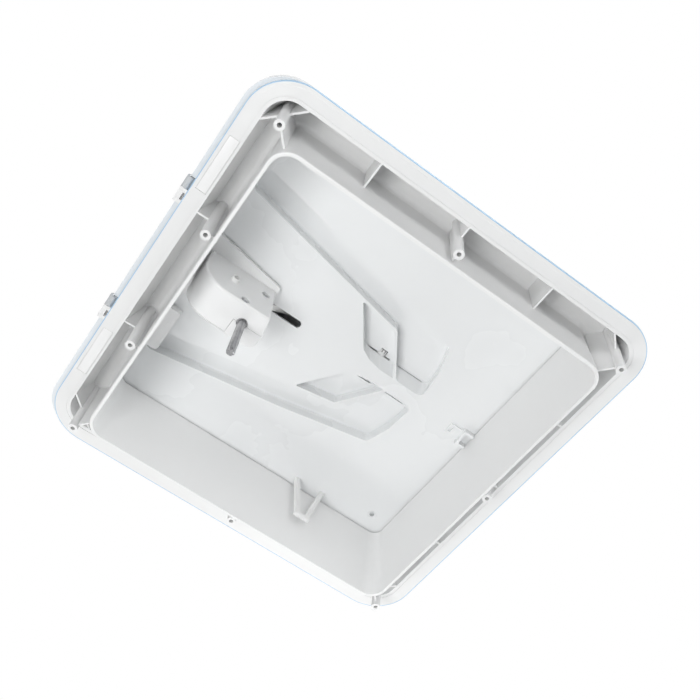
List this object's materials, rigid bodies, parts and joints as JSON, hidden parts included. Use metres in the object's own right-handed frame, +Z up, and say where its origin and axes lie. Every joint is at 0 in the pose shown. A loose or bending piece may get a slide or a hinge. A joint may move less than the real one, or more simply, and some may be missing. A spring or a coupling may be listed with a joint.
{
  "type": "caravan roof vent",
  "caption": "Crank-operated white roof vent with a hinged domed lid, a moulded frame that clamps in a roof cut-out and a worm-driven lift arm.",
  "frame": {"origin": "centre of the roof cut-out, in the plane of the flange's underside that lies on the roof", "axes": "+Z up, out of the vehicle through the lid; +Y towards the hinge side; +X to the side of the pull loop"},
  "size_m": [0.4572, 0.4596, 0.1655],
  "materials": {
    "frame_white": "satin white ABS",
    "cover_white": "satin white ABS",
    "housing_white": "satin white ABS",
    "lid_white": "gloss white, slightly translucent ABS",
    "pane_white": "gloss white ABS",
    "loop_white": "matte white nylon",
    "arm_white": "matte white glass-filled nylon",
    "bearing_plastic": "natural acetal",
    "bearing_steel": "sintered steel",
    "grey_plastic": "matte light grey nylon",
    "plug_grey": "matte light grey nylon",
    "seal_rubber": "matte grey EPDM",
    "steel_spindle": "brushed steel",
    "steel_pin": "bright steel",
    "zinc_screw": "zinc-plated steel"
  },
  "bodies": {
    "frame": {"base_frame": "frame_white", "lid_seal": "seal_rubber", "hinge_block_left": "frame_white", "hinge_block_right": "frame_white", "hinge_block_screws": "zinc_screw", "hinge_cover_left": "cover_white", "hinge_cover_right": "cover_white", "hinge_pin_left": "steel_pin", "hinge_pin_right": "steel_pin", "housing_left": "housing_white", "housing_right": "housing_white", "housing_screws": "zinc_screw", "shelf_screws": "zinc_screw", "spindle_bush_lower": "bearing_steel", "spindle_bush_upper": "bearing_plastic"},
    "lid": {"lid_outer": "lid_white", "lid_inner_pane": "pane_white", "pane_screws": "zinc_screw", "lid_hinge_arm_left": "grey_plastic", "lid_hinge_arm_right": "grey_plastic", "guide_rail": "housing_white", "guide_rail_screws": "zinc_screw", "rail_plug": "plug_grey", "lid_catch": "pane_white", "pull_loop": "loop_white"},
    "arm": {"worm_wheel": "bearing_plastic", "wheel_axle": "bearing_plastic", "lift_arm": "arm_white", "arm_drive_pin": "steel_pin", "cross_pin": "steel_pin", "cross_pin_clip": "steel_pin"},
    "spindle": {"spindle_shaft": "steel_spindle", "spindle_clip": "steel_pin", "worm": "steel_pin"}
  },
  "joints": [
    {"name": "lid_hinge", "type": "hinge", "parent": "frame", "child": "lid", "pos_m": [0, 0.2302, 0.0046], "axis": [-1, 0, 0], "range_deg": [0, 50]},
    {"name": "arm_pivot", "type": "hinge", "parent": "frame", "child": "arm", "pos_m": [0, 0.1413, 0.0268], "axis": [-1, 0, 0], "range_deg": [0, 77.4]},
    {"name": "spindle_turn", "type": "hinge", "parent": "frame", "child": "spindle", "pos_m": [0, 0.114, 0], "axis": [0, 0, -1], "range_deg": [0, 2786]}
  ],
  "couplings": [
    {"joint": "arm_pivot", "follows": "lid_hinge", "ratio": 1.5475},
    {"joint": "spindle_turn", "follows": "lid_hinge", "ratio": 55.711}
  ]
}
